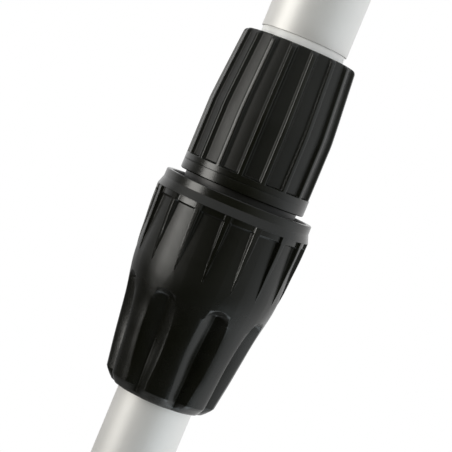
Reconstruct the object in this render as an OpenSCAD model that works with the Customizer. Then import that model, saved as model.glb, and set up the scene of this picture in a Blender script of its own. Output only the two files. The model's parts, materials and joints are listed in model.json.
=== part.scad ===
// Telescopic boom pole: three aluminium tubes, two twist locks, a foam grip and a 3/8 inch stud.
// The pole stands on its butt at z = 0 and runs up +Z to the stud. "Rear" is the butt's side and
// "front" the stud's side. Each lock is drawn from z = 0 at the rear face of its sleeve, at the
// size of the first lock, and the second lock is the same lock scaled to the thinner tube.

/* [Tubes] */
// Outside diameter of the handle tube
handle_d = 25; // [24.9:0.1:25.4]
// Outside diameter of the middle tube
middle_d = 22; // [21.6:0.1:22]
// Outside diameter of the tip tube
tip_d = 19; // [18.6:0.1:19]
// Wall of each tube
tube_wall = 1.2; // [1.1:0.05:1.25]
// Radial cut of the turned neck that each lock is glued to
neck_cut = 0.8; // [0.7:0.05:0.85]

/* [Lengths] */
// Height of the first lock's rear face above the butt
lock_z = 340; // [300:1:400]
// Bare middle tube between the two locks
middle_bare = 60; // [58:1:90]
// Bare tip tube beyond the second lock
tip_bare = 45; // [44:1:80]

/* [Grip] */
// Outside diameter of the foam grip
grip_d = 33; // [30:0.5:36]
// Rear end of the foam
grip_z = 26; // [24:1:34]
// Length of the foam
grip_len = 176; // [120:1:200]
// Outside diameter of the butt cap
cap_d = 30; // [29:0.5:32]
// Length of the butt cap
cap_len = 22; // [18:0.5:22]

/* [Sleeve] */
// Length of the sleeve with its front ring
sleeve_len = 42.2; // [42:0.1:43]
// Radius at the rear face
sleeve_rear_r = 16.4; // [16.2:0.1:16.8]
// Radius of the cylindrical front half
sleeve_r = 18.2; // [18:0.1:18.6]
// Height at which the taper ends
sleeve_taper = 21.3; // [16:0.1:26]
// Number of raised ribs
sleeve_ribs = 17; // [12:1:20]
// Width of a rib, in degrees
sleeve_rib_w = 5.6; // [4:0.1:7]
// Depth of the panels between the ribs
sleeve_panel = 1; // [0.6:0.05:1.1]
// Front end of the panels
sleeve_panel_end = 37.4; // [36:0.1:38]

/* [Knob] */
// Gap between the sleeve and the knob in the locked state
knob_gap = 1.5; // [1.4:0.1:2]
// Length of the knob with its rim
knob_len = 59.9; // [59.5:0.1:61]
// Largest radius of the knob, at the front edge of its rim
knob_r = 22.4; // [22.3:0.1:22.8]
// Number of wedge ribs
knob_ribs = 16; // [8:8:16]
// Width of a wedge rib at its rear end
knob_rib_w = 2.6; // [2:0.1:3]
// Height at which the wedge ribs run out
knob_rib_end = 23.3; // [20:0.1:24]
// Number of finger grooves
grooves = 8; // [4:4:8]
// Half angle of a groove's V section, in degrees
groove_angle = 53; // [48:1:56]
// Height of the rear end of a groove's valley
groove_z = 32.4; // [31.5:0.1:34]
// Radius of the valley at its rear end
groove_rear_r = 17.2; // [16.8:0.1:17.6]
// Radius of the valley at the knob's front face
groove_front_r = 14; // [13.8:0.1:14.4]
// Turn of the sleeve's ribs, in degrees
sleeve_phase = 1.7; // [0:0.1:20]
// Turn of the knob's ribs, in degrees
knob_phase = 1.3; // [0:0.1:20]

/* [Tip] */
// Major radius of the 3/8 inch stud
stud_r = 4.7625; // [4.7:0.0125:4.8]
// Stud above the collar of the tip insert
stud_out = 22; // [20:0.5:26]
// Radius of the knurled jam nut
nut_r = 9; // [8.5:0.1:9.5]
// Height of the knurled jam nut
nut_h = 6; // [5:0.5:7]
// Number of flutes in the nut's knurl
nut_flutes = 30; // [24:1:36]

/* [Hidden] */
$fn = 96;

run_fit = 0.05;      // radial gap of a running fit
clear = 0.3;         // radial gap between parts that only pass each other
over = 1;            // how far a cutter reaches past what it cuts

handle_r = handle_d / 2;
middle_r = middle_d / 2;
tip_r = tip_d / 2;
scale_2 = tip_r / middle_r;             // second lock against the first

neck_len = 36;                          // turned neck, from the sleeve's rear face
spacer_out = 2.3;                       // part of the spacer that stands out of the sleeve
spacer_in = 3;                          // part of the spacer inside the sleeve
spacer_inset = 0.4;                     // spacer's surface below the tube's
ring_z = 39.4;                          // joint of the sleeve and its front ring
body_z = 30;                            // rear end of the lock body
body_r = 15;                            // lock body inside the sleeve
neck_r = 16.4;                          // collar of the lock body, seen in the gap
thread_r = 16.1;                        // crest of the lock body's thread
thread_pitch = 3;
thread_turns = 5;
body_end = 61;                          // front end of the lock body
collet_z = 56;                          // rear end of the collet
collet_r = 13.2;                        // collet's base
collet_end = 73;
collet_tip_r = 12.2;
collet_slots = 8;
clamp_z = 62.5;                         // rear end of the clamp ring
clamp_end = 73.5;
clamp_r = 15;

knob_z = sleeve_len + knob_gap;         // rear face of the knob
rim_len = 4.84;                         // rim of the knob
rim_lip = 2.44;                         // straight part of the rim
lip_inset = 0.9;                        // its surface below the rim's front edge
mouth_r = 19.9;                         // open mouth at the knob's rear
spigot_r = 20.9;                        // knob's spigot inside the rim
rib_depth = 1.4;                        // wedge ribs above the knob's skin, at the rear
rib_dip = 1.7;                          // how far past knob_rib_end a crest is below the skin
rib_tip = 0.2;                          // width of a wedge rib at its front end
knob_bore_r = 12;                       // plain bore around the tube
wiper_r = 12.9;
wiper_z = 54.5;                         // rear end of the wiper, from the knob's rear face
knob_end_r = 13.9;                      // front face of the knob

bush_rear = 8;                          // collar of a tail bush
bush_spigot = 12;                       // spigot of a tail bush
bush_bore_r = 6;
middle_tail = 88;                       // rear end of the middle bush
tip_tail = 150;                         // rear end of the tip bush

lock_2_z = lock_z + knob_z + knob_len + middle_bare;
tip_end = lock_2_z + scale_2 * (knob_z + knob_len) + tip_bare;

cap_floor = 4;                          // rubber under the tube's end
insert_z = 8;
insert_len = 20;
screw_r = 2;
screw_head_r = 4;
screw_head_h = 2.6;
screw_sunk = 1;                         // screw head above the rest face
screw_len = 18;
collar_len = 7;                         // collar in front of the foam
plug_len = 20;                          // tip insert inside the tube
flange_h = 4;                           // tip insert outside the tube
stud_in = 18;
nut_gap = 0.3;                          // gap under the jam nut when it is right down
washer_h = 1.2;
relief_z = flange_h + nut_gap + nut_h + washer_h + 0.4;
relief_h = 1;

black = [0.09, 0.09, 0.1];
silver = [0.8, 0.8, 0.81];
nylon = [0.82, 0.84, 0.82];

// Points of an arc in the half-plane of radius and height
function arc(centre, r, from, to, steps = 3) =
    [for (i = [0:steps]) let (a = from + (to - from) * i / steps) centre + r * [cos(a), sin(a)]];

// Solid of revolution about +Z, from an outline of [radius, height] points
module lathe(outline) rotate_extrude() polygon(outline);

module ring(r_in, r_out, z, h) lathe([[r_in, z], [r_out, z], [r_out, z + h], [r_in, z + h]]);

// n copies around +Z, the first one turned by phase
module around(n, phase = 0) for (i = [0:n - 1]) rotate(phase + i * 360 / n) children();

module at_lock_1() translate([0, 0, lock_z]) children();

module at_lock_2() translate([0, 0, lock_2_z]) children();

// ---- butt and grip ----

module butt_cap() color(black) difference() {
    r = cap_d / 2;
    lathe(concat(
        [[screw_r + 0.1, 0]], arc([r - 2.5, 2], 2, -90, 0),
        arc([r - 1.2, cap_len - 1.2], 1.2, 0, 90), [[handle_r, cap_len]],
        [[handle_r, cap_floor], [screw_r + 0.1, cap_floor]]
    ));
    translate([0, 0, -over]) cylinder(r = screw_head_r + 0.2, h = screw_sunk + over + 2);
    around(24) translate([r + 0.3, 0, 5]) cylinder(r = 0.8, h = cap_len - 9, $fn = 24);
}

module butt_insert() color(silver)
    lathe([
        [screw_r, insert_z], [handle_r - tube_wall, insert_z],
        [handle_r - tube_wall, insert_z + insert_len], [screw_r, insert_z + insert_len]
    ]);

module butt_screw() color(silver) difference() {
    union() {
        translate([0, 0, screw_sunk - 0.6]) cylinder(r = screw_head_r, h = screw_head_h);
        translate([0, 0, screw_sunk]) cylinder(r = screw_r, h = screw_len);
    }
    translate([0, 0, -over]) cylinder(r = 1.5, h = screw_sunk + over + 0.8, $fn = 6);
}

module foam_grip() color([0.16, 0.16, 0.17]) {
    r = grip_d / 2;
    top = grip_z + grip_len;
    lathe(concat(
        [[handle_r, grip_z]], arc([r - 2.5, grip_z + 2.5], 2.5, -90, 0),
        arc([r - 2.5, top - 2.5], 2.5, 0, 90), [[handle_r, top]]
    ));
}

module grip_collar() color(black) {
    base = grip_z + grip_len;
    r = grip_d / 2 - 1;
    lathe(concat(
        [[handle_r, base], [r, base], [r, base + 2.5]],
        arc([handle_r + 1, base + collar_len - 1], 1, 0, 90), [[handle_r, base + collar_len]]
    ));
}

// ---- tubes ----

// A tube from the butt side up to the shoulder behind a lock, and its turned neck inside that lock
module necked_tube(r, from, lock_at, s) color(silver) {
    shoulder = lock_at - spacer_out * s;
    inner = r - tube_wall;
    lathe([
        [inner, from], [r, from], [r, shoulder], [r - neck_cut, shoulder],
        [r - neck_cut, lock_at + neck_len * s], [inner, lock_at + neck_len * s]
    ]);
}

module handle_tube() necked_tube(handle_r, cap_floor, lock_z, 1);

module middle_tube() necked_tube(middle_r, middle_tail + bush_rear, lock_2_z, scale_2);

module tip_tube() color(silver)
    ring(tip_r - tube_wall, tip_r, tip_tail + bush_rear, tip_end - tip_tail - bush_rear);

// Bush on a tube's tail: its collar runs in the next larger tube, its spigot is glued in its own
module tail_bush(r, outer_r, z) color(nylon)
    lathe([
        [bush_bore_r, z], [outer_r - tube_wall - run_fit - 0.6, z],
        [outer_r - tube_wall - run_fit, z + 0.6], [outer_r - tube_wall - run_fit, z + bush_rear],
        [r - tube_wall, z + bush_rear], [r - tube_wall, z + bush_rear + bush_spigot],
        [bush_bore_r, z + bush_rear + bush_spigot]
    ]);

module middle_bush() tail_bush(middle_r, handle_r, middle_tail);

module tip_bush() tail_bush(tip_r, middle_r, tip_tail);

// ---- lock, fixed side: r is the tube that carries it and ri the tube it grips ----

module spacer(r, s) color(nylon)
    ring(r - neck_cut, r - spacer_inset, -spacer_out * s, (spacer_out + spacer_in) * s);

module sleeve(r, s) color(black) difference() {
    round_r = 1.2;
    seam = 0.25;
    lathe(concat(
        [[r - spacer_inset, 0]], s * arc([sleeve_rear_r - round_r, round_r], round_r, -90, -5),
        s * [[sleeve_r, sleeve_taper], [sleeve_r, ring_z - seam], [sleeve_r - seam, ring_z]],
        [[body_r * s, ring_z * s], [body_r * s, body_z * s], [r - neck_cut, body_z * s],
        [r - neck_cut, spacer_in * s], [r - spacer_inset, spacer_in * s]]
    ));
    panel_w = 360 / sleeve_ribs - sleeve_rib_w;
    around(sleeve_ribs, sleeve_phase + sleeve_rib_w / 2) rotate_extrude(angle = panel_w)
        polygon(s * [
            [sleeve_rear_r - sleeve_panel, round_r], [sleeve_r - sleeve_panel, sleeve_taper],
            [sleeve_r - sleeve_panel, sleeve_panel_end - 0.4], [sleeve_r + 0.4, sleeve_panel_end + 0.4],
            [sleeve_r + over, sleeve_panel_end], [sleeve_r + over, 0], [sleeve_rear_r - 0.6, 0]
        ]);
}

module sleeve_ring(s) color(black) {
    seam = 0.25;
    lathe(s * [
        [body_r, ring_z], [sleeve_r - seam, ring_z], [sleeve_r, ring_z + seam],
        [sleeve_r, sleeve_len - 0.3], [sleeve_r - 0.3, sleeve_len], [body_r, sleeve_len]
    ]);
}

// Threaded body in the sleeve, with the tube's neck in its rear and the collet in its front
module lock_body(r, ri, s) color(black) {
    bore = ri + run_fit;
    thread = [for (i = [0:thread_turns - 1], p = [0:3])
        [thread_r - (p == 1 || p == 2 ? 0.8 : 0), 45.6 + thread_pitch * i + [0, 0.7, 1.5, 2.2][p]]];
    lathe(concat(
        [[r - neck_cut, body_z * s], [body_r * s, body_z * s], [body_r * s, sleeve_len * s]],
        s * [[neck_r, sleeve_len], [neck_r, sleeve_len + 2.4], [thread_r, sleeve_len + 2.6]],
        s * thread, s * [[thread_r, body_end], [collet_r, body_end], [collet_r, collet_z]],
        [[bore, collet_z * s], [bore, neck_len * s], [r - neck_cut, neck_len * s]]
    ));
}

module collet(ri, s) color(nylon) difference() {
    bore = ri + run_fit;
    lathe(concat(
        [[bore, collet_z * s]],
        s * [[collet_r, collet_z], [collet_r, body_end + 0.5], [collet_r + 0.4, body_end + 1.2]],
        s * [[collet_tip_r, collet_end]], [[bore, collet_end * s]]
    ));
    around(collet_slots) translate(s * [0, -0.6, collet_z + 5.5])
        cube(s * [collet_r + over, 1.2, collet_end]);
}

// ---- lock, moving side ----

// Radius of the cone inside the clamp ring, just clear of the collet's fingers
function cone_r(z) = let (slope = (collet_r + 0.4 - collet_tip_r) / (collet_end - body_end - 1.2))
    collet_tip_r + slope * (collet_end - z) + clear;

// Ring that the knob pushes: its cone closes the collet's fingers
module clamp_ring(s) color(nylon)
    lathe(s * [
        [cone_r(clamp_z), clamp_z], [clamp_r, clamp_z], [clamp_r, clamp_end],
        [cone_r(clamp_end), clamp_end]
    ]);

module knob_rim(s) color(black) translate([0, 0, knob_z * s])
    lathe(s * [
        [mouth_r, 0.3], [mouth_r + 0.3, 0], [knob_r - lip_inset - 0.2, 0],
        [knob_r - lip_inset, 0.25], [knob_r - lip_inset, rim_lip - 0.1], [knob_r, rim_len - 0.15],
        [knob_r, rim_len], [spigot_r, rim_len], [spigot_r, rim_lip], [mouth_r, rim_lip]
    ]);

// Crest line of the wedge ribs, which dips under the knob's surface at knob_rib_end
function rib_crest() = [
    [knob_r, rim_len], [knob_r - 0.1, 9.8], [knob_r - 0.45, 15.4],
    [knob_r - 1.15, knob_rib_end], [knob_r - 1.6, knob_rib_end + rib_dip]
];

module knob(s) color(black) translate([0, 0, knob_z * s]) scale(s) difference() {
    union() {
        lathe([
            [knob_bore_r, rim_lip], [spigot_r, rim_lip], [spigot_r, rim_len],
            [knob_r - 0.8, rim_len], [knob_r - 0.8, 6.6], [knob_r - rib_depth, 6.8],
            [knob_r - 1.15, knob_rib_end], [knob_r - 1.5, 26.5], [knob_r - 2, 29.3],
            [knob_r - 3.05, 34.9], [knob_r - 4.2, 43.2], [knob_r - 5.75, 54.5],
            [knob_r - 6.25, 57.3], [knob_end_r, knob_len], [knob_bore_r, knob_len]
        ]);
        intersection() {
            lathe(concat(
                [[spigot_r - over, rim_len]], rib_crest(), [[spigot_r - over, knob_rib_end + rib_dip]]
            ));
            around(knob_ribs, knob_phase) wedge_rib();
        }
    }
    knob_cavity();
    around(grooves, knob_phase + 360 / knob_ribs) finger_groove();
}

// Prism on the tangent plane, wide at the rear and almost a point at the front
module wedge_rib()
    translate([spigot_r - over / 2, 0, 0]) rotate([90, 0, 90])
        linear_extrude(rib_depth + 2 * over) polygon([
            [-knob_rib_w / 2, rim_len - over], [knob_rib_w / 2, rim_len - over],
            [rib_tip / 2, knob_rib_end + 3], [-rib_tip / 2, knob_rib_end + 3]
        ]);

// V-shaped cutter along the knob, and the cone that rounds its rear end
module finger_groove() {
    deep = knob_r - groove_front_r - 2;  // enough to leave the knob's skin all along
    wide = deep * tan(groove_angle);
    v_wide = 0.94 * wide;               // V a little narrower than the cone that ends it
    lean = atan((groove_rear_r - groove_front_r) / (knob_len - groove_z));
    translate([groove_rear_r, 0, groove_z]) rotate([0, -lean, 0]) linear_extrude(knob_len)
        polygon([[0, 0], [deep, v_wide], [deep, -v_wide]]);
    translate([groove_rear_r, 0, groove_z + 0.05]) rotate([0, 90, 0])
        cylinder(r1 = 0, r2 = wide, h = deep);
}

// Mouth, thread, pocket of the clamp ring and seat of the wiper
module knob_cavity() {
    pocket_r = clamp_r + clear;
    thread_bore = neck_r + clear;
    lathe([
        [0, rim_lip - over], [mouth_r, rim_lip - over], [mouth_r, 7], [thread_bore, 9],
        [thread_bore, 18.5], [pocket_r, 18.6], [pocket_r, clamp_end - knob_z + clear],
        [knob_bore_r, clamp_end - knob_z + clear], [knob_bore_r, wiper_z],
        [wiper_r, wiper_z], [wiper_r, knob_len + over], [0, knob_len + over]
    ]);
}

module wiper(ri, s) color([0.05, 0.05, 0.05]) {
    z = (knob_z + wiper_z) * s;
    h = (knob_len - wiper_z - 0.5) * s;
    lathe([
        [ri + run_fit, z + 1], [ri + run_fit + 1, z], [wiper_r * s, z],
        [wiper_r * s, z + h], [ri + run_fit, z + h]
    ]);
}

// ---- tip ----

module tip_insert() color(black)
    lathe([
        [stud_r, tip_end - plug_len], [tip_r - tube_wall, tip_end - plug_len],
        [tip_r - tube_wall, tip_end], [tip_r, tip_end], [tip_r, tip_end + flange_h - 0.6],
        [tip_r - 0.6, tip_end + flange_h], [stud_r, tip_end + flange_h]
    ]);

module stud() color([0.72, 0.62, 0.38]) translate([0, 0, tip_end]) difference() {
    lathe([
        [0, flange_h - stud_in], [stud_r, flange_h - stud_in], [stud_r, relief_z],
        [stud_r - 0.7, relief_z + 0.2], [stud_r - 0.7, relief_z + relief_h - 0.2],
        [stud_r, relief_z + relief_h], [stud_r, flange_h + stud_out - 0.8],
        [stud_r - 0.8, flange_h + stud_out], [0, flange_h + stud_out]
    ]);
    translate([-stud_r - over, -0.6, flange_h + stud_out - 1.5])
        cube([2 * (stud_r + over), 1.2, 1.5 + over]);
}

module jam_nut() color([0.75, 0.75, 0.76]) translate([0, 0, tip_end + flange_h + nut_gap])
    difference() {
        lathe([
            [stud_r + run_fit, 0], [nut_r - 0.8, 0], [nut_r, 0.8], [nut_r, nut_h - 0.8],
            [nut_r - 0.8, nut_h], [stud_r + run_fit, nut_h]
        ]);
        around(nut_flutes) translate([nut_r + 0.4, 0, 0.8 - over / 2])
            cylinder(r = 0.75, h = nut_h - 1.6 + over, $fn = 16);
    }

module jam_washer() color(black)
    translate([0, 0, tip_end]) ring(stud_r + run_fit, nut_r - 0.8, relief_z - 0.4 - washer_h, washer_h);

// ---- nodes of the two locks ----

module spacer_1() at_lock_1() spacer(handle_r, 1);
module spacer_2() at_lock_2() spacer(middle_r, scale_2);
module sleeve_1() at_lock_1() sleeve(handle_r, 1);
module sleeve_2() at_lock_2() sleeve(middle_r, scale_2);
module sleeve_ring_1() at_lock_1() sleeve_ring(1);
module sleeve_ring_2() at_lock_2() sleeve_ring(scale_2);
module lock_body_1() at_lock_1() lock_body(handle_r, middle_r, 1);
module lock_body_2() at_lock_2() lock_body(middle_r, tip_r, scale_2);
module collet_1() at_lock_1() collet(middle_r, 1);
module collet_2() at_lock_2() collet(tip_r, scale_2);
module clamp_ring_1() at_lock_1() clamp_ring(1);
module clamp_ring_2() at_lock_2() clamp_ring(scale_2);
module knob_1() at_lock_1() knob(1);
module knob_2() at_lock_2() knob(scale_2);
module knob_rim_1() at_lock_1() knob_rim(1);
module knob_rim_2() at_lock_2() knob_rim(scale_2);
module wiper_1() at_lock_1() wiper(middle_r, 1);
module wiper_2() at_lock_2() wiper(tip_r, scale_2);

butt_cap();
butt_insert();
butt_screw();
foam_grip();
grip_collar();
handle_tube();
spacer_1();
sleeve_1();
sleeve_ring_1();
lock_body_1();
collet_1();
clamp_ring_1();
knob_1();
knob_rim_1();
wiper_1();
middle_bush();
middle_tube();
spacer_2();
sleeve_2();
sleeve_ring_2();
lock_body_2();
collet_2();
clamp_ring_2();
knob_2();
knob_rim_2();
wiper_2();
tip_bush();
tip_tube();
tip_insert();
stud();
jam_nut();
jam_washer();
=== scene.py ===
"""Looks of a telescopic boom pole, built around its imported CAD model.

Every visible piece is made here from the same outlines as the CAD node that it stands for, with the
rounded edges, ribs, grooves and threads that the CAD model leaves plain. Lengths inside the builders
are millimetres, and the mesh makers turn them into metres.
"""
import json
import math

import bpy
import numpy as np
from mathutils import Matrix, Vector

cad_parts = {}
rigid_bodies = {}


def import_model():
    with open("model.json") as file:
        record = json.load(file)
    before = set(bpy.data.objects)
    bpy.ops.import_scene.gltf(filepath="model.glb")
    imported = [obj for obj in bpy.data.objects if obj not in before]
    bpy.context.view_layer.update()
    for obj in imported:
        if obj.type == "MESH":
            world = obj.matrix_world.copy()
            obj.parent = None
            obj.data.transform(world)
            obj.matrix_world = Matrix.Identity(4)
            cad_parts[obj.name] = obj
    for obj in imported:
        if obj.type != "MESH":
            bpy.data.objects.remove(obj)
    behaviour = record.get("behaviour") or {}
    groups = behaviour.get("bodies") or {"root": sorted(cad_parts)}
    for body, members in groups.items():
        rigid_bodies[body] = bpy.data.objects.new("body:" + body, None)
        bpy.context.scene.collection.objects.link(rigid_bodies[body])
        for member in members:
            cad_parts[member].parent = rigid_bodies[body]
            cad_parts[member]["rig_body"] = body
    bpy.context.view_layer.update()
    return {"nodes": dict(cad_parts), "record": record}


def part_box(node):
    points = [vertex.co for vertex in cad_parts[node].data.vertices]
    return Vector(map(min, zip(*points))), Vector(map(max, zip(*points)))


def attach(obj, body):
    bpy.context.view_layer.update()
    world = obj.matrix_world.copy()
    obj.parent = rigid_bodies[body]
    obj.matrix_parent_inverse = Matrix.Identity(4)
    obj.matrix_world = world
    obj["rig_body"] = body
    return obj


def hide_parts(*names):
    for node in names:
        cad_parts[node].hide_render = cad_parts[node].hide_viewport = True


MM = 0.001
TAU = 2 * math.pi

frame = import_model()


def node_z(node):
    """Lowest and highest height of a CAD node, in millimetres."""
    low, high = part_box(node)
    return low.z / MM, high.z / MM


def node_r(node):
    """Outer radius of a CAD node, in millimetres."""
    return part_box(node)[1].x / MM


LOCK_Z = node_z("sleeve_1")[0]          # rear face of the first sleeve
LOCK_2_Z = node_z("sleeve_2")[0]
SCALE_2 = node_r("tip_tube") / node_r("middle_tube")
TIP_Z = node_z("tip_tube")[1]


# ---- camera ----

LENS = 112.6                            # millimetres, on a 36 mm sensor
CAMERA_DISTANCE = 390.0
CAMERA_HEIGHT = LOCK_Z + 27.34
CAMERA_TILT = math.radians(3.71)        # towards the stud
CAMERA_TURN = math.radians(0.053)
CAMERA_ROLL = math.radians(22.63)       # the stud points down and to the left


def make_camera():
    """A close-up of the first lock. The picture's top is towards the butt, so the stud points down."""
    ahead = Vector((math.sin(CAMERA_TURN), math.cos(CAMERA_TILT), math.sin(CAMERA_TILT))).normalized()
    down_pole = Vector((0, 0, -1))
    level = ahead.cross(down_pole).normalized()
    top = level.cross(ahead)
    up = top * math.cos(CAMERA_ROLL) - level * math.sin(CAMERA_ROLL)
    right = ahead.cross(up)
    data = bpy.data.cameras.new("camera")
    data.lens = LENS
    data.sensor_width = 36
    data.clip_start = 0.01
    data.clip_end = 50
    camera = bpy.data.objects.new("camera", data)
    bpy.context.scene.collection.objects.link(camera)
    turn = Matrix((right, up, -ahead)).transposed().to_4x4()
    camera.matrix_world = Matrix.Translation((0, -CAMERA_DISTANCE * MM, CAMERA_HEIGHT * MM)) @ turn
    bpy.context.scene.camera = camera


make_camera()


# ---- materials ----

class Nodes:
    """Short way to write a material's node tree."""

    def __init__(self, name):
        self.material = bpy.data.materials.new(name)
        self.material.use_nodes = True
        self.tree = self.material.node_tree
        self.shader = self.tree.nodes["Principled BSDF"]
        self.place = self.new("ShaderNodeTexCoord").outputs["Object"]

    def new(self, kind, **settings):
        node = self.tree.nodes.new(kind)
        for key, value in settings.items():
            setattr(node, key, value)
        return node

    def link(self, source, target):
        self.tree.links.new(source, target)

    def stretched(self, x, y, z):
        mapping = self.new("ShaderNodeMapping")
        mapping.inputs["Scale"].default_value = (x, y, z)
        self.link(self.place, mapping.inputs["Vector"])
        return mapping.outputs["Vector"]

    def noise(self, scale, detail=2.0, vector=None, rough=0.5):
        node = self.new("ShaderNodeTexNoise")
        node.inputs["Scale"].default_value = scale
        node.inputs["Detail"].default_value = detail
        node.inputs["Roughness"].default_value = rough
        self.link(vector or self.place, node.inputs["Vector"])
        return node.outputs["Fac"]

    def cells(self, scale):
        node = self.new("ShaderNodeTexVoronoi", feature="DISTANCE_TO_EDGE")
        node.inputs["Scale"].default_value = scale
        self.link(self.place, node.inputs["Vector"])
        return node.outputs["Distance"]

    def ramp(self, value, low, high, a=0.3, b=0.7):
        """value from a to b becomes low to high, which are numbers or colours."""
        node = self.new("ShaderNodeMapRange")
        node.inputs["From Min"].default_value = a
        node.inputs["From Max"].default_value = b
        self.link(value, node.inputs["Value"])
        if isinstance(low, (int, float)):
            node.inputs["To Min"].default_value = low
            node.inputs["To Max"].default_value = high
            return node.outputs["Result"]
        mix = self.new("ShaderNodeMix", data_type="RGBA")
        mix.inputs[6].default_value = (*low, 1)
        mix.inputs[7].default_value = (*high, 1)
        self.link(node.outputs["Result"], mix.inputs[0])
        return mix.outputs[2]

    def bump(self, height, distance, strength=1.0, under=None):
        node = self.new("ShaderNodeBump")
        node.inputs["Strength"].default_value = strength
        node.inputs["Distance"].default_value = distance
        self.link(height, node.inputs["Height"])
        if under is not None:
            self.link(under, node.inputs["Normal"])
        return node.outputs["Normal"]

    def set(self, **sockets):
        """Sets sockets, named with _ for a space, to a number, a colour or a node's output."""
        for key, value in sockets.items():
            socket = self.shader.inputs[key.replace("_", " ")]
            if isinstance(value, bpy.types.NodeSocket):
                self.link(value, socket)
            elif isinstance(value, tuple):
                socket.default_value = (*value, 1)[:len(socket.default_value)]
            else:
                socket.default_value = value
        return self.material


SATIN_ROUGHNESS = 0.12                  # added where "satin" is 1


def moulded_plastic(name, dark, light, gloss, grain):
    """Black plastic, duller where the mesh has its "satin" attribute set."""
    n = Nodes(name)
    satin = n.new("ShaderNodeAttribute", attribute_name="satin").outputs["Fac"]
    tint = n.ramp(n.noise(45, 3), dark, light)
    uneven = n.ramp(n.noise(160, 4), gloss - 0.03, gloss + 0.04)
    rough = n.new("ShaderNodeMath", operation="MULTIPLY_ADD")
    n.link(satin, rough.inputs[0])
    rough.inputs[1].default_value = SATIN_ROUGHNESS
    n.link(uneven, rough.inputs[2])
    level = n.ramp(satin, 0.5, 0.4, 0, 1)
    fine = n.bump(n.noise(5200, 3), 0.00002 * grain, 0.5)
    waves = n.bump(n.noise(110, 1), 0.00006, 0.25, fine)
    return n.set(
        Base_Color=tint, Roughness=rough.outputs["Value"], Normal=waves,
        IOR=1.5, Specular_IOR_Level=level,
    )


def drawn_aluminium(name, dark, light, rough_low, rough_high, metallic=1.0):
    n = Nodes(name)
    lines = n.noise(1.0, 4, n.stretched(5200, 5200, 35), 0.6)
    mottle = n.noise(60, 4)
    tint = n.ramp(mottle, dark, light)
    rough = n.ramp(lines, rough_low, rough_high)
    normal = n.bump(lines, 0.00001, 0.35)
    return n.set(Base_Color=tint, Metallic=metallic, Roughness=rough, Normal=normal)


def milky_nylon(name, colour, pale):
    n = Nodes(name)
    tint = n.ramp(n.noise(300, 3), colour, pale)
    normal = n.bump(n.noise(2500, 2), 0.00002, 0.4)
    return n.set(
        Base_Color=tint, Roughness=0.38, Normal=normal, IOR=1.5,
        Subsurface_Weight=0.2, Subsurface_Scale=0.001, Subsurface_Radius=(1.0, 1.0, 0.9),
    )


def cellular_foam(name):
    n = Nodes(name)
    cells = n.cells(1700)
    soft = n.noise(700, 4)
    # painted shade: the foam's colour darkens along the cell edges, which are the low grooves of the
    # bump below
    tint = n.ramp(cells, (0.012, 0.012, 0.013), (0.036, 0.036, 0.038), 0.0, 0.25)
    pits = n.bump(cells, 0.00025, 0.7)
    lumps = n.bump(soft, 0.0004, 0.5, pits)
    return n.set(Base_Color=tint, Roughness=0.92, Normal=lumps, Specular_IOR_Level=0.25)


def soft_rubber(name, dark, light):
    n = Nodes(name)
    tint = n.ramp(n.noise(220, 4), dark, light)
    rough = n.ramp(n.noise(700, 3), 0.55, 0.72)
    normal = n.bump(n.noise(3800, 3), 0.00003, 0.5)
    return n.set(Base_Color=tint, Roughness=rough, Normal=normal)


def plated_steel(name):
    n = Nodes(name)
    tint = n.ramp(n.noise(120, 4), (0.55, 0.54, 0.52), (0.72, 0.71, 0.69))
    rough = n.ramp(n.noise(900, 4), 0.22, 0.3)
    normal = n.bump(n.noise(2000, 1), 0.000003, 0.2)
    return n.set(Base_Color=tint, Metallic=1.0, Roughness=rough, Normal=normal)


MATERIALS = {
    "anodised_tube": drawn_aluminium(
        "anodised_tube", (0.80, 0.79, 0.77), (0.85, 0.84, 0.82), 0.52, 0.59, metallic=0.52,
    ),
    "black_plastic": moulded_plastic(
        "black_plastic", (0.0030, 0.0031, 0.0014), (0.0050, 0.0051, 0.0030), 0.22, 1,
    ),
    "dark_plastic": moulded_plastic(
        "dark_plastic", (0.007, 0.007, 0.006), (0.012, 0.012, 0.011), 0.42, 2,
    ),
    "clear_nylon": milky_nylon("clear_nylon", (0.93, 0.93, 0.91), (0.97, 0.97, 0.95)),
    "white_nylon": milky_nylon("white_nylon", (0.76, 0.75, 0.70), (0.84, 0.83, 0.79)),
    "foam": cellular_foam("foam"),
    "rubber_cap": soft_rubber("rubber_cap", (0.010, 0.010, 0.010), (0.020, 0.020, 0.021)),
    "seal_rubber": soft_rubber("seal_rubber", (0.006, 0.006, 0.006), (0.013, 0.013, 0.013)),
    "plain_aluminium": drawn_aluminium(
        "plain_aluminium", (0.7, 0.7, 0.71), (0.8, 0.8, 0.81), 0.25, 0.4,
    ),
    "black_anodised": drawn_aluminium(
        "black_anodised", (0.020, 0.020, 0.022), (0.034, 0.034, 0.036), 0.3, 0.42,
    ),
    "steel": plated_steel("steel"),
}


# ---- meshes ----

SHARP_ANGLE = math.radians(38)          # edges that turn more than this stay sharp
FLAT_ANGLE = math.radians(172)          # corners flatter than this aren't rounded


def finish_piece(mesh, name, node, slot):
    """Makes a mesh into a piece that stands for a CAD node and rides on the node's body."""
    mesh.validate()
    mesh.polygons.foreach_set("use_smooth", [True] * len(mesh.polygons))
    mesh.set_sharp_from_angle(angle=SHARP_ANGLE)
    mesh.materials.append(MATERIALS[slot])
    piece = bpy.data.objects.new(name, mesh)
    bpy.context.scene.collection.objects.link(piece)
    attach(piece, frame["nodes"][node]["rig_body"])
    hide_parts(node)
    return piece


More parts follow.
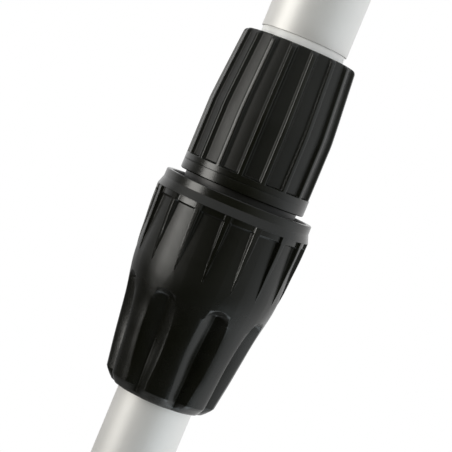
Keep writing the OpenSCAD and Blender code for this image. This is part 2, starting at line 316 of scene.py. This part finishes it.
def ring_mesh(name, rows):
    """Closed mesh from rows of points around the axis.

    Each row is (angles, radii, heights) in millimetres. A fourth value says how satin the surface is.
    """
    points = []
    satin = []
    for angles, radii, heights, *rest in rows:
        radii = np.broadcast_to(radii, angles.shape)
        heights = np.broadcast_to(heights, angles.shape)
        points.append(np.stack([radii * np.cos(angles), radii * np.sin(angles), heights], 1))
        satin.append(np.broadcast_to(rest[0] if rest else 0.0, angles.shape))
    columns = len(rows[0][0])
    count = len(rows)
    index = np.arange(count * columns).reshape(count, columns)
    after = np.roll(index, -1, 0)
    quads = np.stack([index, np.roll(index, -1, 1), np.roll(after, -1, 1), after], 2).reshape(-1, 4)
    mesh = bpy.data.meshes.new(name)
    mesh.from_pydata((np.concatenate(points) * MM).tolist(), [], quads.tolist())
    mesh.update()
    mesh.attributes.new("satin", "FLOAT", "POINT").data.foreach_set("value", np.concatenate(satin))
    return mesh


def rounded(outline, radius, steps=4):
    """The outline's [radius, height] points, its corners rounded to the radius if there is room."""
    points = [Vector(p) for p in outline]
    out = []
    for i, here in enumerate(points):
        before, after = points[i - 1], points[(i + 1) % len(points)]
        a, b = before - here, after - here
        if a.length < 1e-6 or b.length < 1e-6:
            continue
        angle = a.angle(b)
        if angle > FLAT_ANGLE:
            out.append(here)
            continue
        reach = min(radius / math.tan(angle / 2), a.length * 0.45, b.length * 0.45)
        r = reach * math.tan(angle / 2)
        centre = here + (a.normalized() + b.normalized()).normalized() * (r / math.sin(angle / 2))
        start = here + a.normalized() * reach - centre
        turn = start.angle_signed(here + b.normalized() * reach - centre)
        for k in range(steps + 1):
            out.append(centre + Matrix.Rotation(-turn * k / steps, 2) @ start)
    return out


def lathe(name, node, slot, outline, radius=0.25, segments=160, base=0.0, scale=1.0):
    """Solid of revolution from an outline of [radius, height] points that runs round its section."""
    angles = np.arange(segments) / segments * TAU
    rows = [(angles, p[0] * scale, base + p[1] * scale) for p in rounded(outline, radius)]
    return finish_piece(ring_mesh(name, rows), name, node, slot)


def smooth_min(a, b, width):
    """The lower of two values, with a fillet where they cross within the width."""
    gap = np.maximum(width - np.abs(a - b), 0)
    return np.minimum(a, b) - gap * gap / (4 * width)


def smooth_max(a, b, width):
    return -smooth_min(-a, -b, width)


def soft_clamp(x, width=0.25):
    """x held between 0 and 1, with fillets at both ends."""
    return smooth_min(smooth_max(x, 0.0, width), 1.0, width)


def profile(points):
    """Smooth curve through [height, radius] points, as a function of height."""
    z = np.array([p[0] for p in points], float)
    r = np.array([p[1] for p in points], float)
    slopes = np.gradient(r, z)

    def radius(height):
        h = np.clip(height, z[0], z[-1])
        i = np.clip(np.searchsorted(z, h, side="right") - 1, 0, len(z) - 2)
        step = z[i + 1] - z[i]
        t = (h - z[i]) / step
        return (
            (1 + 2 * t) * (1 - t) ** 2 * r[i] + t * (1 - t) ** 2 * step * slopes[i]
            + t * t * (3 - 2 * t) * r[i + 1] + t * t * (t - 1) * step * slopes[i + 1]
        )

    return radius


def off_centre(angles, count, phase):
    """Angle of each point from the nearest of count evenly spaced centres."""
    pitch = TAU / count
    return (angles - phase + pitch / 2) % pitch - pitch / 2


def spread(*marks, step):
    """Heights from the first mark to the last, through every mark and no further apart than step."""
    out = []
    for a, b in zip(marks, marks[1:]):
        n = max(1, math.ceil((b - a) / step))
        out += [a + (b - a) * k / n for k in range(n)]
    return out + [marks[-1]]


# ---- the lock's sleeve ----

SLEEVE_RIBS = 17
SLEEVE_PHASE = math.radians(1.72)
RIB_TOP = 0.62                          # half width of a rib's flat top
RIB_WALL = 0.58                         # run of its sloping wall
PANEL_DEPTH = 1.0
PANEL_END = 37.4
PANEL_SATIN = 1.7                       # the panels are duller than the ribs
SLEEVE_R = 18.2
REAR_EDGE = 1.2                         # radius of its rounded rear edge
SEAM_Z = 39.4                           # where the front ring sits on it
SLEEVE_LEN = 42.2
SOCKET_R = 15.0                         # socket in its front, for the lock body
SOCKET_Z = 30


def sleeve(node, base, scale, bore):
    taper = profile([
        [0, 16.4], [10, 17.27], [18, 17.95], [21.3, 18.18], [25, SLEEVE_R], [40, SLEEVE_R],
    ])

    def radius(angles, z):
        """Radius of the sleeve at a height, and how deep in a panel each point is, from 0 to 1."""
        crest = taper(z) - (REAR_EDGE - math.sqrt(REAR_EDGE ** 2 - max(REAR_EDGE - z, 0) ** 2))
        across = np.abs(off_centre(angles, SLEEVE_RIBS, SLEEVE_PHASE)) * crest
        rib = soft_clamp((RIB_TOP + RIB_WALL - across) / RIB_WALL, 0.3)
        end = soft_clamp(np.full_like(angles, (PANEL_END + 0.15 - z) / 0.3), 0.4)
        floor = taper(z) - PANEL_DEPTH - 0.25 * (1 - math.sqrt(1 - max(1 - z / 0.4, 0) ** 2))
        panel = np.minimum(crest, floor)
        sunk = np.minimum(1 - rib, end)
        return crest - (crest - panel) * sunk, sunk

    half = math.pi / SLEEVE_RIBS
    mean_r = 17.5
    across = [
        0, 0.3, 0.5, 0.6, 0.65, 0.7, 0.76, 0.84, 0.92, 1.0,
        1.06, 1.11, 1.16, 1.22, 1.32, 1.6, 2.0, 2.5,
    ]
    offsets = [a / mean_r for a in across] + [half]
    cell = sorted({-o for o in offsets[1:-1]} | set(offsets))
    angles = np.array([SLEEVE_PHASE + k * 2 * half + o for k in range(SLEEVE_RIBS) for o in cell])
    seam = 0.03
    heights = (
        [0, 0.01, 0.04, 0.1, 0.2, 0.32, 0.48, 0.7, 0.95] + spread(REAR_EDGE, 36.9, step=0.9)
        + [37.05, 37.15, 37.22, 37.3, 37.37, 37.45, 37.55, 37.65]
        + spread(37.8, SEAM_Z - seam, step=0.5)
    )
    rows = []
    for z in heights:
        r, sunk = radius(angles, z)
        rows.append((angles, r * scale, base + z * scale, PANEL_SATIN * sunk))
    inside = [
        (SLEEVE_R - 0.01, SEAM_Z - 0.01), (SLEEVE_R - 0.03, SEAM_Z),
        (SOCKET_R, SEAM_Z), (SOCKET_R, SOCKET_Z),
    ]
    rows += [(angles, r * scale, base + z * scale) for r, z in inside]
    rows += [(angles, bore, base + SOCKET_Z * scale), (angles, bore, base)]
    rows += [(angles, bore + 0.5, base), (angles, (SOCKET_R - 0.1) * scale, base)]
    return finish_piece(ring_mesh("look_" + node, rows), "look_" + node, node, "black_plastic")


def sleeve_ring(node, base, scale):
    outline = [
        [SOCKET_R, SEAM_Z], [SLEEVE_R - 0.04, SEAM_Z], [SLEEVE_R, SEAM_Z + 0.04],
        [SLEEVE_R, SLEEVE_LEN - 0.25], [SLEEVE_R - 0.25, SLEEVE_LEN], [SOCKET_R, SLEEVE_LEN],
    ]
    return lathe("look_" + node, node, "black_plastic", outline, 0.12, base=base, scale=scale)


# ---- the lock's knob: heights from its rear face ----

KNOB_Z = 43.7                           # rear face of the knob, from the sleeve's rear face
KNOB_LEN = 59.9
KNOB_MEAN_R = 21                        # turns widths into angles
RIM_LEN = 4.84
BAND_END = 6.6                          # a plain band runs round between the rim and the panels
BAND_R = 21.6
CHAMFER_Z = 57.3                        # where the knob's front edge starts to slope
CHAMFER_R = 16.16
CHAMFER_SLOPE = 0.87
FRONT_SLOPE = 0.13                      # of the body just behind the chamfer
KNOB_RIBS = 16
KNOB_PHASE = math.radians(1.3)
GROOVES = 8
GROOVE_PHASE = KNOB_PHASE + TAU / KNOB_RIBS
GROOVE_TOP = 29.1
CAP_R = 3.5                             # radius of its round end
BEVEL_SLOPE = 0.22                      # of the bevel along its edges
RIB_END = 24.0
SATIN_FADE = (24, 32)                   # the panels' satin finish gives way to gloss between these
RIB_SLOPE = 0.38                        # run of a rib's wall for each millimetre of its height


def knob(node, base, scale):
    body = profile([
        [0, 21.0], [BAND_END, 21.0], [14, 21.1], [20.9, 21.22], [23.7, 21.15], [26.5, 20.88],
        [29.3, 20.42], [34.9, 19.36], [43.25, 18.2], [48.9, 17.45], [54.5, 16.6],
        [CHAMFER_Z, CHAMFER_R],
    ])
    crest = profile([
        [0, 22.5], [RIM_LEN, 22.4], [9.8, 22.28], [15.4, 21.92], [20.9, 21.55], [24.2, 21.1],
    ])
    middle = profile([[0, 1.05], [7, 0.95], [19.5, 0.46], [22.5, 0.28], [24.2, 0.1]])
    groove_half = profile([
        [GROOVE_TOP, 3.5], [32, 3.6], [35, 4.1], [39, 4.6], [43, 4.8],
        [48, 4.6], [52, 4.1], [57, 3.4], [60, 2.9],
    ])
    groove_bevel = profile([
        [GROOVE_TOP, 0.05], [33, 0.25], [38, 0.65], [43, 0.95], [50, 1.0], [55, 0.9], [60, 0.5],
    ])
    groove_floor = profile([
        [GROOVE_TOP, 18.2], [33.5, 17.4], [37.7, 16.5], [43.3, 15.5], [52, 14.85], [60, 14.0],
    ])

    def radius(angles, z):
        """Radius of the knob at a height, and how satin each point is."""
        skin = float(body(z))
        band = float(soft_clamp(np.array([(BAND_END + 0.12 - z) / 0.24]), 0.4)[0])
        skin += (BAND_R - skin) * band
        if z > CHAMFER_Z - 0.1:
            past = z - CHAMFER_Z
            front = smooth_min(CHAMFER_R - FRONT_SLOPE * past, CHAMFER_R - CHAMFER_SLOPE * past, 0.5)
            skin = min(skin, float(front))
        out = np.full_like(angles, skin)
        satin = np.full_like(angles, (1 - band) * float(np.interp(z, SATIN_FADE, [1, 0.25])))
        if z < RIB_END:
            height = max(float(crest(z)) - skin, 0)
            run = max(RIB_SLOPE * height, 0.05)
            across = np.abs(off_centre(angles, KNOB_RIBS, KNOB_PHASE)) * skin
            rib = soft_clamp((float(middle(z)) + run / 2 - across) / run, 0.25)
            out += height * rib
            satin *= 1 - rib
        if z > GROOVE_TOP:
            across = np.abs(off_centre(angles, GROOVES, GROOVE_PHASE)) * skin
            half = float(groove_half(z))
            bevel = float(groove_bevel(z))
            shoulder = BEVEL_SLOPE * bevel
            slope = (skin - float(groove_floor(z)) - shoulder) / (half - bevel)
            wall = shoulder + slope * (half - bevel + 0.15 - np.sqrt(across ** 2 + 0.15 ** 2))
            depth = smooth_max(wall, BEVEL_SLOPE * (half - across), 0.03)
            past = z - GROOVE_TOP - CAP_R
            cap = 1.25 * (CAP_R - np.hypot(across, min(past, 0)) + max(past, 0))
            depth = smooth_min(depth, cap, 0.3)
            out -= smooth_max(depth, 0.0, 0.03)
        return out, satin

    def columns(z):
        """Half of a groove's period, in angles, with the columns crowded round ribs and grooves."""
        rib = max(float(middle(z)), 0.12)
        if z < RIB_END:
            wide = max(float(crest(z)) - float(body(z)), 0.1) * RIB_SLOPE + 0.25
        else:
            wide = 0.35
        edge = float(groove_half(max(z, 31.0)))
        close = np.array([-1, -0.72, -0.52, -0.36, -0.18, 0, 0.18, 0.36, 0.52, 0.72, 1.0])
        near = rib + close * min(wide, rib * 0.9) * 0.9
        if z > RIB_END:
            t = min((z - RIB_END) / 7, 1)
            near = near * (1 - t) + np.linspace(0.12, 0.72, len(close)) * edge * t
        crease = edge - float(groove_bevel(max(z, 31.0)))
        lip = np.concatenate([
            crease + np.array([-0.3, -0.08, 0, 0.08]),
            edge + np.array([-0.1, -0.03, 0.03, 0.1, 0.3]),
        ])
        pitch = TAU / KNOB_RIBS * KNOB_MEAN_R
        far = pitch - (rib + close[::-1] * min(wide, rib * 0.9) * 0.9)
        between = np.linspace(lip[-1], far[0], 4)[1:-1]
        return np.concatenate([near, lip, between, far]) / KNOB_MEAN_R

    heights = (
        [RIM_LEN, RIM_LEN + 0.03, RIM_LEN + 0.1, RIM_LEN + 0.3] + spread(5.4, 6.3, step=0.3)
        + [6.42, 6.48, 6.54, BAND_END, 6.66, 6.72, 6.8, 6.95]
        + spread(7.3, 22, step=0.75) + spread(22.3, 25.3, step=0.3)
        + spread(25.9, GROOVE_TOP - 0.2, step=0.45)
        + [GROOVE_TOP + d for d in (-0.02, 0, 0.03, 0.08, 0.15, 0.24)]
        + spread(GROOVE_TOP + 0.35, GROOVE_TOP + 4.4, step=0.15)
        + spread(GROOVE_TOP + 4.6, 57, step=0.52) + spread(57.15, KNOB_LEN - 0.25, step=0.15)
    )
    rows = []
    for z in heights:
        half = columns(z)
        period = np.concatenate([[0], half, [TAU / KNOB_RIBS], TAU / GROOVES - half[::-1]])
        angles = np.concatenate([GROOVE_PHASE + k * TAU / GROOVES + period for k in range(GROOVES)])
        r, satin = radius(angles, z)
        rows.append((angles, r * scale, base + (KNOB_Z + z) * scale, satin))
    rear_angles, front_angles, front_r = rows[0][0], rows[-1][0], rows[-1][1] / scale
    for pull, z in [(0.1, -0.16), (0.22, -0.08), (0.4, -0.02), (0.6, 0)]:
        edge_r = np.maximum(front_r - pull, 13.2)
        rows.append((front_angles, edge_r * scale, base + (KNOB_Z + KNOB_LEN + z) * scale))
    # from the front: the seat of the wiper, the plain bore round the tube, the pocket of the clamp
    # ring, the thread, the mouth, and the spigot inside the rim
    inside = [
        (13.1, KNOB_LEN), (12.9, KNOB_LEN - 0.2), (12.9, 54.5), (12.0, 54.5), (12.0, 30.1),
        (15.3, 30.1), (15.3, 18.6), (16.7, 18.5), (16.7, 9), (19.9, 7), (19.9, 2.44),
        (20.9, 2.44), (20.9, RIM_LEN),
    ]
    for r, z in inside:
        angles = front_angles if z > 20 else rear_angles
        rows.append((angles, r * scale, base + (KNOB_Z + z) * scale))
    return finish_piece(ring_mesh("look_" + node, rows), "look_" + node, node, "black_plastic")


def knob_rim(node, base, scale):
    """Ring round the knob's rear, with a straight lip and a cone that widens to its full radius."""
    outline = [
        [19.9, 2.44], [19.9, 0], [21.35, 0], [21.5, 0.25], [21.55, 2.35],
        [22.4, 4.7], [22.4, RIM_LEN], [20.9, RIM_LEN], [20.9, 2.44],
    ]
    outline = [[r, z + KNOB_Z] for r, z in outline]
    return lathe(
        "look_" + node, node, "black_plastic", outline, 0.12, segments=192, base=base, scale=scale,
    )


NECK_DEPTH = 0.8                        # the tube's end is turned down for the sleeve
NECK_START = -2.3                       # from the sleeve's rear face, before scaling


def lock(number, base, scale, tube_r):
    """The sleeve and knob of a lock, and the spacer between the sleeve and its tube's shoulder."""
    neck = tube_r - NECK_DEPTH
    sleeve(f"sleeve_{number}", base, scale, neck)
    sleeve_ring(f"sleeve_ring_{number}", base, scale)
    knob(f"knob_{number}", base, scale)
    knob_rim(f"knob_rim_{number}", base, scale)
    spacer_r = tube_r - 0.4
    spacer = [[neck, NECK_START], [spacer_r, NECK_START], [spacer_r, 3], [neck, 3]]
    spacer = [[r, z * scale] for r, z in spacer]
    lathe(f"look_spacer_{number}", f"spacer_{number}", "clear_nylon", spacer, 0.1, base=base)


lock(1, LOCK_Z, 1.0, node_r("handle_tube"))
lock(2, LOCK_2_Z, SCALE_2, node_r("middle_tube"))


# ---- tubes ----

WALL = 1.2                              # of every tube


def necked_tube(node, lock_z, scale):
    low, high = node_z(node)
    r = node_r(node)
    shoulder = lock_z + NECK_START * scale
    neck = r - NECK_DEPTH
    outline = [
        [r - WALL, low], [r, low], [r, shoulder], [neck, shoulder], [neck, high], [r - WALL, high],
    ]
    return lathe("look_" + node, node, "anodised_tube", outline, 0.12, segments=256)


def plain_tube(node):
    low, high = node_z(node)
    r = node_r(node)
    outline = [[r - WALL, low], [r, low], [r, high], [r - WALL, high]]
    return lathe("look_" + node, node, "anodised_tube", outline, 0.12, segments=256)


necked_tube("handle_tube", LOCK_Z, 1.0)
necked_tube("middle_tube", LOCK_2_Z, SCALE_2)
plain_tube("tip_tube")


# ---- butt and grip ----

def arc(centre, radius, start, end, steps=6):
    """Points of an arc in the plane of radius and height, from one angle to the other in degrees."""
    turns = np.radians(np.linspace(start, end, steps + 1))
    return [[centre[0] + radius * math.cos(t), centre[1] + radius * math.sin(t)] for t in turns]


def butt_cap():
    low, high = node_z("butt_cap")
    r = node_r("butt_cap")
    tube_r = node_r("handle_tube")
    count = 24
    half = math.pi / count
    offsets = np.concatenate([[0], np.linspace(0.25, 0.62, 3), [0.7, 0.75, 0.8, 0.9, 1.2]]) / r
    cell = np.concatenate([-offsets[:0:-1], offsets, [half]])
    angles = np.concatenate([k * 2 * half + cell for k in range(count)])
    across = np.abs(off_centre(angles, count, 0)) * r
    flute = np.sqrt(np.maximum(0.8 ** 2 - across ** 2, 0)) - 0.3
    outer = arc((r - 2, low + 2), 2, -90, 0, 8)
    outer += [[r, z] for z in spread(low + 2.6, high - 2.2, step=0.35)]
    outer += arc((r - 1.2, high - 1.2), 1.2, 0, 90, 6)
    rows = []
    for radius, z in outer:
        end = min(z - 5.0, high - 4.0 - z)
        sunk = smooth_max(flute, 0.0, 0.05) * float(soft_clamp(np.array([end / 0.5]), 0.5)[0])
        rows.append((angles, radius - sunk, z))
    foot = []
    for ridge in (5.4, 7.4, 9.4, 11.4):
        foot += [[ridge, low], [ridge + 0.1, low + 0.35], [ridge + 0.7, low + 0.35], [ridge + 0.8, low]]
    inner = [
        [tube_r + 0.4, high], [tube_r, high - 0.4], [tube_r, low + 4.1], [tube_r - 0.1, low + 4],
        [2.1, low + 4], [2.1, low + 3], [4.1, low + 3], [4.2, low + 2.9], [4.2, low + 0.3], [4.5, low],
    ] + foot
    rows += [(angles, radius, z) for radius, z in inner]
    finish_piece(ring_mesh("look_butt_cap", rows), "look_butt_cap", "butt_cap", SLOTS["butt_cap"])


def butt_screw():
    low, high = node_z("butt_screw")
    angles = np.arange(96) / 96 * TAU
    hexagon = 1.3 / np.cos(off_centre(angles, 6, math.pi / 6))
    outline = [
        (0.02, low + 1.3), (hexagon - 0.02, low + 1.3), (hexagon, low + 1.25),
        (hexagon, low + 0.15), (hexagon + 0.12, low),
    ]
    outline += arc((3.4, low + 0.6), 0.6, -90, 0, 5)
    outline += [
        (4, low + 2.35), (3.9, low + 2.6), (2.1, low + 2.6), (2, low + 2.7),
        (2, high - 0.6), (1.4, high), (0.02, high),
    ]
    rows = [(angles, r, z) for r, z in outline]
    mesh = ring_mesh("look_butt_screw", rows)
    finish_piece(mesh, "look_butt_screw", "butt_screw", SLOTS["butt_screw"])


def foam_grip():
    low, high = node_z("foam_grip")
    r = node_r("foam_grip")
    angles = np.arange(220) / 220 * TAU
    outline = arc((r - 2.5, low + 2.5), 2.5, -90, 0, 9)
    outline += [[r, z] for z in spread(low + 3, high - 3, step=1.0)]
    outline += arc((r - 2.5, high - 2.5), 2.5, 0, 90, 9)
    rows = []
    for radius, z in outline:
        lumps = np.sin(3 * angles + 0.11 * z) + np.sin(5 * angles - 0.17 * z + 1)
        lumps += np.sin(2 * angles + 0.29 * z + 2)
        lumps += 0.6 * np.sin(11 * angles + 0.53 * z) * np.sin(7 * angles - 0.47 * z)
        rows.append((angles, radius - 0.035 * (lumps + 3.7), z))
    bore = node_r("handle_tube")
    rows += [(angles, bore + 0.3, high), (angles, bore, high - 0.4)]
    rows += [(angles, bore, low + 0.4), (angles, bore + 0.3, low)]
    mesh = ring_mesh("look_foam_grip", rows)
    foam = finish_piece(mesh, "look_foam_grip", "foam_grip", SLOTS["foam_grip"])


def grip_collar():
    low, high = node_z("grip_collar")
    r = node_r("grip_collar")
    bore = node_r("handle_tube")
    outline = [
        [bore, low], [r, low], [r, low + 0.9], [r - 0.25, low + 1.1], [r - 0.25, low + 1.4],
        [r, low + 1.6], [r, low + 2.5],
    ]
    outline += arc((bore + 1, high - 1), 1, 15, 90, 6) + [[bore, high]]
    lathe("look_grip_collar", "grip_collar", SLOTS["grip_collar"], outline, 0.15)


# ---- tip ----

THREAD_PITCH = 1.5875                   # 3/8 inch with 16 threads to the inch


def tip_insert():
    low, high = node_z("tip_insert")
    r = node_r("tip_insert")
    bore = node_r("stud")
    inner = r - WALL
    outline = [
        [bore, low], [inner - 0.6, low], [inner, low + 0.6], [inner, TIP_Z],
        [r, TIP_Z], [r, TIP_Z + 1.1], [r - 0.3, TIP_Z + 1.3], [r - 0.3, TIP_Z + 1.7],
        [r, TIP_Z + 1.9], [r, high - 0.6], [r - 0.6, high], [bore + 0.5, high], [bore, high - 0.4],
    ]
    lathe("look_tip_insert", "tip_insert", SLOTS["tip_insert"], outline, 0.12)


def stud():
    low, high = node_z("stud")
    crest = node_r("stud")
    depth = 0.61 * THREAD_PITCH
    angles = np.arange(120) / 120 * TAU
    relief = node_z("jam_nut")[0] + 0.4     # the thread starts at the foot of the nut

    def radius(z):
        """Radius of the thread round the stud at a height, with a relief below and a chamfer on top."""
        place = (z / THREAD_PITCH - angles / TAU) % 1.0
        ramp = np.abs(2 * place - 1) * 1.28 - 0.1
        thread = crest - depth * np.clip(ramp, 0, 1)
        thread = np.where(z < relief + 0.5, crest - 0.7 - 0.3 * (1 - place), thread)
        return np.minimum(thread, crest - 1.0 + (high - z))

    rows = [(angles, 0.02, low), (angles, crest - 1.0, low), (angles, crest - 0.6, low + 0.4)]
    rows += [(angles, crest - 0.6, relief - 0.4), (angles, crest - 0.7, relief)]
    turns = spread(relief + 0.1, relief + 1.0, high - 0.02, step=THREAD_PITCH / 13)
    rows += [(angles, radius(z), z) for z in turns]
    rows += [(angles, crest - 1.05, high), (angles, 0.02, high)]
    piece = finish_piece(ring_mesh("look_stud", rows), "look_stud", "stud", SLOTS["stud"])
    cut_slot(piece, high, crest)


def cut_slot(piece, high, r):
    """Screwdriver slot across the stud's end."""
    bpy.ops.mesh.primitive_cube_add(size=1, location=(0, 0, high * MM))
    cutter = bpy.context.object
    cutter.scale = (4 * r * MM, 1.2 * MM, 3.0 * MM)
    cut = piece.modifiers.new("slot", "BOOLEAN")
    cut.object = cutter
    cut.solver = "EXACT"
    bpy.context.view_layer.update()
    depsgraph = bpy.context.evaluated_depsgraph_get()
    mesh = bpy.data.meshes.new_from_object(piece.evaluated_get(depsgraph))
    piece.modifiers.clear()
    piece.data = mesh
    bpy.data.objects.remove(cutter)


def jam_nut():
    low, high = node_z("jam_nut")
    r = node_r("jam_nut")
    bore = node_r("stud") + 0.05
    count = 30
    half = math.pi / count
    cell = np.linspace(-half, half, 13)[1:]
    angles = np.concatenate([k * 2 * half + cell for k in range(count)])
    across = np.abs(off_centre(angles, count, 0)) * r
    flute = smooth_max(np.sqrt(np.maximum(0.75 ** 2 - across ** 2, 0)) - 0.4, 0.0, 0.04)
    rows = []
    from_end = [0, 0.05, 0.3, 0.6, 0.8]
    heights = [low + d for d in from_end] + spread(low + 1.0, high - 1.0, step=0.5)
    heights += [high - d for d in reversed(from_end)]
    for z in heights:
        edge = min(z - low, high - z)
        skin = r - max(0.8 - edge, 0) - (0.06 if edge < 0.04 else 0)
        rows.append((angles, np.minimum(skin, r - flute), z))
    rows += [(angles, 6.6, high), (angles, 6.5, high - 0.12), (angles, bore + 0.6, high - 0.12)]
    rows += [(angles, bore, high - 0.6), (angles, bore, low + 0.6), (angles, bore + 0.6, low)]
    finish_piece(ring_mesh("look_jam_nut", rows), "look_jam_nut", "jam_nut", SLOTS["jam_nut"])


def jam_washer():
    low, high = node_z("jam_washer")
    r = node_r("jam_washer")
    bore = node_r("stud") + 0.05
    outline = [[bore, low], [r, low], [r, high], [bore, high]]
    lathe("look_jam_washer", "jam_washer", SLOTS["jam_washer"], outline, 0.25)


SLOTS = {s["node"]: s["material_slot"] for s in frame["record"]["subparts"]}
butt_cap()
butt_screw()
foam_grip()
grip_collar()
tip_insert()
stud()
jam_nut()
jam_washer()


# ---- the other CAD nodes keep their shape ----

for node, obj in frame["nodes"].items():
    obj.data.materials.clear()
    obj.data.materials.append(MATERIALS[SLOTS[node]])


# ---- floor, lights and surroundings ----

def make_floor():
    n = Nodes("pale_floor")
    away = n.new("ShaderNodeVectorMath", operation="LENGTH")
    n.link(n.place, away.inputs[0])
    fade = n.ramp(away.outputs["Value"], 1.0, 0.0, 0.55, 1.35)
    back = n.new("ShaderNodeNewGeometry").outputs["Backfacing"]
    shown = n.new("ShaderNodeMath", operation="MULTIPLY")
    front = n.ramp(back, 1.0, 0.0, 0.0, 1.0)
    n.link(fade, shown.inputs[0])
    n.link(front, shown.inputs[1])
    tint = n.ramp(n.noise(9, 3), (0.875, 0.875, 0.88), (0.885, 0.885, 0.885))
    n.set(Base_Color=tint, Roughness=0.8, Alpha=shown.outputs["Value"])
    bpy.ops.mesh.primitive_circle_add(vertices=96, radius=1.4, fill_type="NGON", location=(0, 0, 0))
    floor = bpy.context.object
    floor.name = "floor"
    floor.data.materials.append(n.material)


LIGHT_DISTANCE = 1.6


def area_light(name, azimuth, elevation, width, tall, power, colour):
    """A soft box LIGHT_DISTANCE from the lock, azimuth degrees round from the camera to the left."""
    data = bpy.data.lights.new(name, "AREA")
    data.shape = "RECTANGLE"
    data.size = width
    data.size_y = tall
    data.energy = power
    data.color = colour
    light = bpy.data.objects.new(name, data)
    bpy.context.scene.collection.objects.link(light)
    turn, rise = math.radians(azimuth), math.radians(elevation)
    away = Vector((math.sin(turn) * math.cos(rise), -math.cos(turn) * math.cos(rise), math.sin(rise)))
    light.location = away * LIGHT_DISTANCE + Vector((0, 0, (LOCK_Z + 65) * MM))
    light.rotation_mode = "QUATERNION"
    light.rotation_quaternion = away.to_track_quat("Z", "Y")
    light.visible_camera = False
    return light


def make_world():
    """White for the camera, and a room for everything else.

    The room is white behind the pole, dark in front of it on the left and pale on the right. Its front
    gets darker with height, and so does its left side. Both its floor and its ceiling are lighter.
    """
    world = bpy.data.worlds.new("studio")
    bpy.context.scene.world = world
    world.use_nodes = True
    tree = world.node_tree
    tree.nodes.clear()
    place = tree.nodes.new("ShaderNodeTexCoord")
    split = tree.nodes.new("ShaderNodeSeparateXYZ")
    tree.links.new(place.outputs["Generated"], split.inputs[0])

    def part_way(axis, start, end, curve="LINEAR"):
        """0 to 1 as a coordinate of the room goes from start to end."""
        node = tree.nodes.new("ShaderNodeMapRange")
        node.interpolation_type = curve
        node.inputs["From Min"].default_value = start
        node.inputs["From Max"].default_value = end
        tree.links.new(split.outputs[axis], node.inputs["Value"])
        return node.outputs["Result"]

    def shades(axis, stops):
        """Greys or colours at stops along an axis of the room, which runs from -1 to 1."""
        node = tree.nodes.new("ShaderNodeValToRGB")
        tree.links.new(part_way(axis, -1, 1), node.inputs["Fac"])
        marks = node.color_ramp.elements
        while len(marks) < len(stops):
            marks.new(0.5)
        for mark, (at, colour) in zip(marks, stops):
            mark.position = (at + 1) / 2
            mark.color = (*np.broadcast_to(colour, 3).tolist(), 1)
        return node.outputs["Color"]

    def blend(kind, below, above, share=None):
        node = tree.nodes.new("ShaderNodeMix")
        node.data_type = "RGBA"
        node.blend_type = kind
        node.inputs[0].default_value = 1
        if share is not None:
            tree.links.new(share, node.inputs[0])
        tree.links.new(below, node.inputs[6])
        tree.links.new(above, node.inputs[7])
        return node.outputs[2]

    left = shades("Y", [
        (-1, (0.115, 0.12, 0.085)), (-0.7, (0.08, 0.08, 0.065)), (0.0, (0.05, 0.05, 0.046)),
        (0.3, 0.3), (0.5, 0.9), (0.6, 1),
    ])
    left = blend("MULTIPLY", left, shades("Z", [(0.0, 1), (0.18, 0.3), (0.5, 0.15)]))
    right = shades("Y", [
        (-1, (0.115, 0.12, 0.085)), (-0.92, (0.33, 0.34, 0.28)), (-0.68, (0.68, 0.7, 0.67)),
        (-0.28, (0.88, 0.92, 0.93)), (0.1, (0.95, 0.98, 1)), (0.6, 1),
    ])
    right = blend("MULTIPLY", right, shades("Z", [(-0.1, 1), (0.0, 0.88), (0.3, 0.9), (0.6, 0.95)]))
    room = blend("MIX", right, left, part_way("X", -0.3, 0.3, "SMOOTHSTEP"))
    front = shades("Z", [(-0.25, 1), (-0.16, 0.94), (-0.06, 0.64), (0.17, 0.42), (0.35, 0.2)])
    room = blend("MULTIPLY", room, front, part_way("Y", 0, -0.6))
    ends = shades("Z", [
        (-1, 0.9), (-0.5, 0.85), (-0.25, 0.1), (-0.12, 0), (0.5, 0), (0.8, 0.26), (1, 0.42),
    ])
    room = blend("LIGHTEN", room, ends)
    lit = tree.nodes.new("ShaderNodeBackground")
    tree.links.new(room, lit.inputs["Color"])
    white = tree.nodes.new("ShaderNodeBackground")
    white.inputs["Color"].default_value = (1, 1, 1, 1)
    path = tree.nodes.new("ShaderNodeLightPath")
    mix = tree.nodes.new("ShaderNodeMixShader")
    tree.links.new(path.outputs["Is Camera Ray"], mix.inputs["Fac"])
    tree.links.new(lit.outputs["Background"], mix.inputs[1])
    tree.links.new(white.outputs["Background"], mix.inputs[2])
    out = tree.nodes.new("ShaderNodeOutputWorld")
    tree.links.new(mix.outputs["Shader"], out.inputs["Surface"])


make_floor()
make_world()
area_light("key_left", 68.5, -0.5, 0.67, 1.0, 14.2, (1.0, 0.985, 0.94))
area_light("top_right", -62, 50, 1.1, 1.1, 7, (0.84, 0.94, 1.0))
fill = area_light("fill_right", -46, 0, 0.6, 1.2, 5.5, (1.0, 0.98, 1.0))
fill.visible_glossy = False             # it lifts the tubes without a spot on the black plastic
bpy.context.scene.view_settings.view_transform = "Standard"
